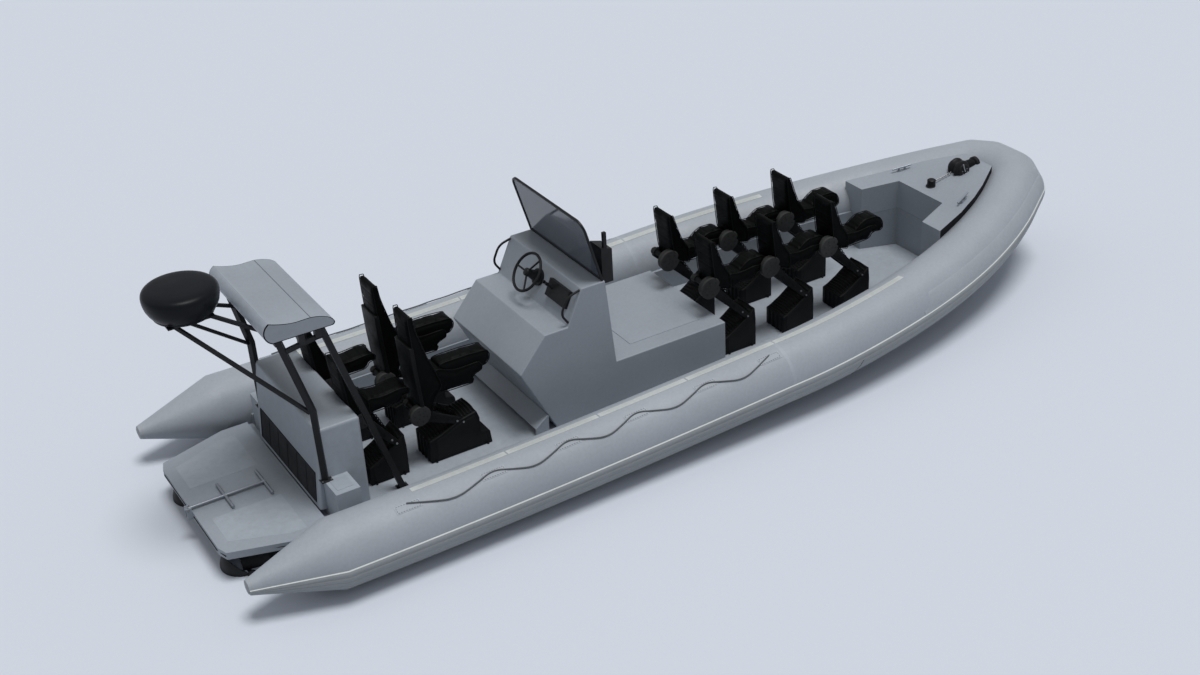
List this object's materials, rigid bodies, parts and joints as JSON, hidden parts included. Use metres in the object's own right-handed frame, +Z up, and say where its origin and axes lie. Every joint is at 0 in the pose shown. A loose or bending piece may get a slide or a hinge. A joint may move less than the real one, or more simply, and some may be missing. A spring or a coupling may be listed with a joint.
{
  "type": "inflatable rib boat",
  "caption": "Rigid-hulled inflatable boat with centre console, jockey seats, aft radar arch and twin waterjets, afloat at its waterline",
  "frame": {"origin": "centreline at the waterline, 4.1 m forward of the transom", "axes": "+X to the bow, +Y to port, +Z up"},
  "size_m": [9.6063, 3.386, 2.9514],
  "materials": {
    "hull_laminate": "gloss",
    "deck_laminate": "satin",
    "tube_fabric": "satin",
    "rubber_band": "matt",
    "black_frame": "satin",
    "black_moulding": "satin",
    "windscreen": "clear",
    "black_rubber": "matt",
    "stainless": "polished",
    "rope": "braided",
    "jet_casting": "satin",
    "engine_iron": "matt",
    "seat_black": "matt"
  },
  "bodies": {
    "boat": {"hull": "hull_laminate", "cockpit_deck": "deck_laminate", "swim_platform": "deck_laminate", "engine_box": "deck_laminate", "console": "deck_laminate", "bow_locker": "deck_laminate", "foot_rest": "deck_laminate", "arch_wing": "deck_laminate", "collar_port": "tube_fabric", "collar_starboard": "tube_fabric", "collar_bow": "tube_fabric", "rubbing_strake": "rubber_band", "arch_frame": "black_frame", "radome_bracket": "black_frame", "windscreen_frame": "black_frame", "grab_rail_port": "black_frame", "grab_rail_starboard": "black_frame", "side_unit": "black_moulding", "radome": "black_moulding", "intake_grille": "black_moulding", "helm_unit": "black_moulding", "throttle_control": "black_moulding", "windlass": "black_moulding", "windscreen_pane": "windscreen", "cleat_port": "stainless", "cleat_starboard": "stainless", "lifeline_port": "rope", "lifeline_starboard": "rope", "jet_housing_port": "jet_casting", "jet_housing_starboard": "jet_casting", "engine_port": "engine_iron", "engine_starboard": "engine_iron", "aft_seat_port": "seat_black", "aft_seat_starboard": "seat_black", "helm_seat_port": "seat_black", "helm_seat_starboard": "seat_black", "seat_row_1_port": "seat_black", "seat_row_1_starboard": "seat_black", "seat_row_2_port": "seat_black", "seat_row_2_starboard": "seat_black", "seat_row_3_port": "seat_black", "seat_row_3_starboard": "seat_black"},
    "steering_nozzle_port": {"steering_nozzle_port": "jet_casting"},
    "steering_nozzle_starboard": {"steering_nozzle_starboard": "jet_casting"},
    "reverse_bucket_port": {"reverse_bucket_port": "jet_casting"},
    "reverse_bucket_starboard": {"reverse_bucket_starboard": "jet_casting"},
    "steering_wheel": {"steering_wheel": "black_rubber"},
    "boarding_ladder": {"boarding_ladder": "stainless"}
  },
  "joints": [
    {"name": "steer_starboard", "type": "hinge", "parent": "boat", "child": "steering_nozzle_starboard", "pos_m": [-4.64, -0.6, -0.005], "axis": [0, 0, 1], "range_deg": [-25, 25]},
    {"name": "steer_port", "type": "hinge", "parent": "boat", "child": "steering_nozzle_port", "pos_m": [-4.64, 0.6, -0.005], "axis": [0, 0, 1], "range_deg": [-25, 25]},
    {"name": "wheel_turn", "type": "hinge", "parent": "boat", "child": "steering_wheel", "pos_m": [-1.57384, 0, 1.49774], "axis": [-0.7923, 0, 0.6101], "range_deg": [-540, 540]},
    {"name": "bucket_lift_starboard", "type": "hinge", "parent": "steering_nozzle_starboard", "child": "reverse_bucket_starboard", "pos_m": [-4.785, -0.6, -0.005], "axis": [0, 1, 0], "range_deg": [0, 75]},
    {"name": "bucket_lift_port", "type": "hinge", "parent": "steering_nozzle_port", "child": "reverse_bucket_port", "pos_m": [-4.785, 0.6, -0.005], "axis": [0, 1, 0], "range_deg": [0, 75]},
    {"name": "ladder_fold", "type": "hinge", "parent": "boat", "child": "boarding_ladder", "pos_m": [-5.032, -0.04, 0.325], "axis": [0, -1, 0], "range_deg": [0, 260]}
  ],
  "couplings": [
    {"joint": "steer_port", "follows": "steer_starboard", "ratio": 1},
    {"joint": "wheel_turn", "follows": "steer_starboard", "ratio": 21.6},
    {"joint": "bucket_lift_port", "follows": "bucket_lift_starboard", "ratio": 1}
  ]
}
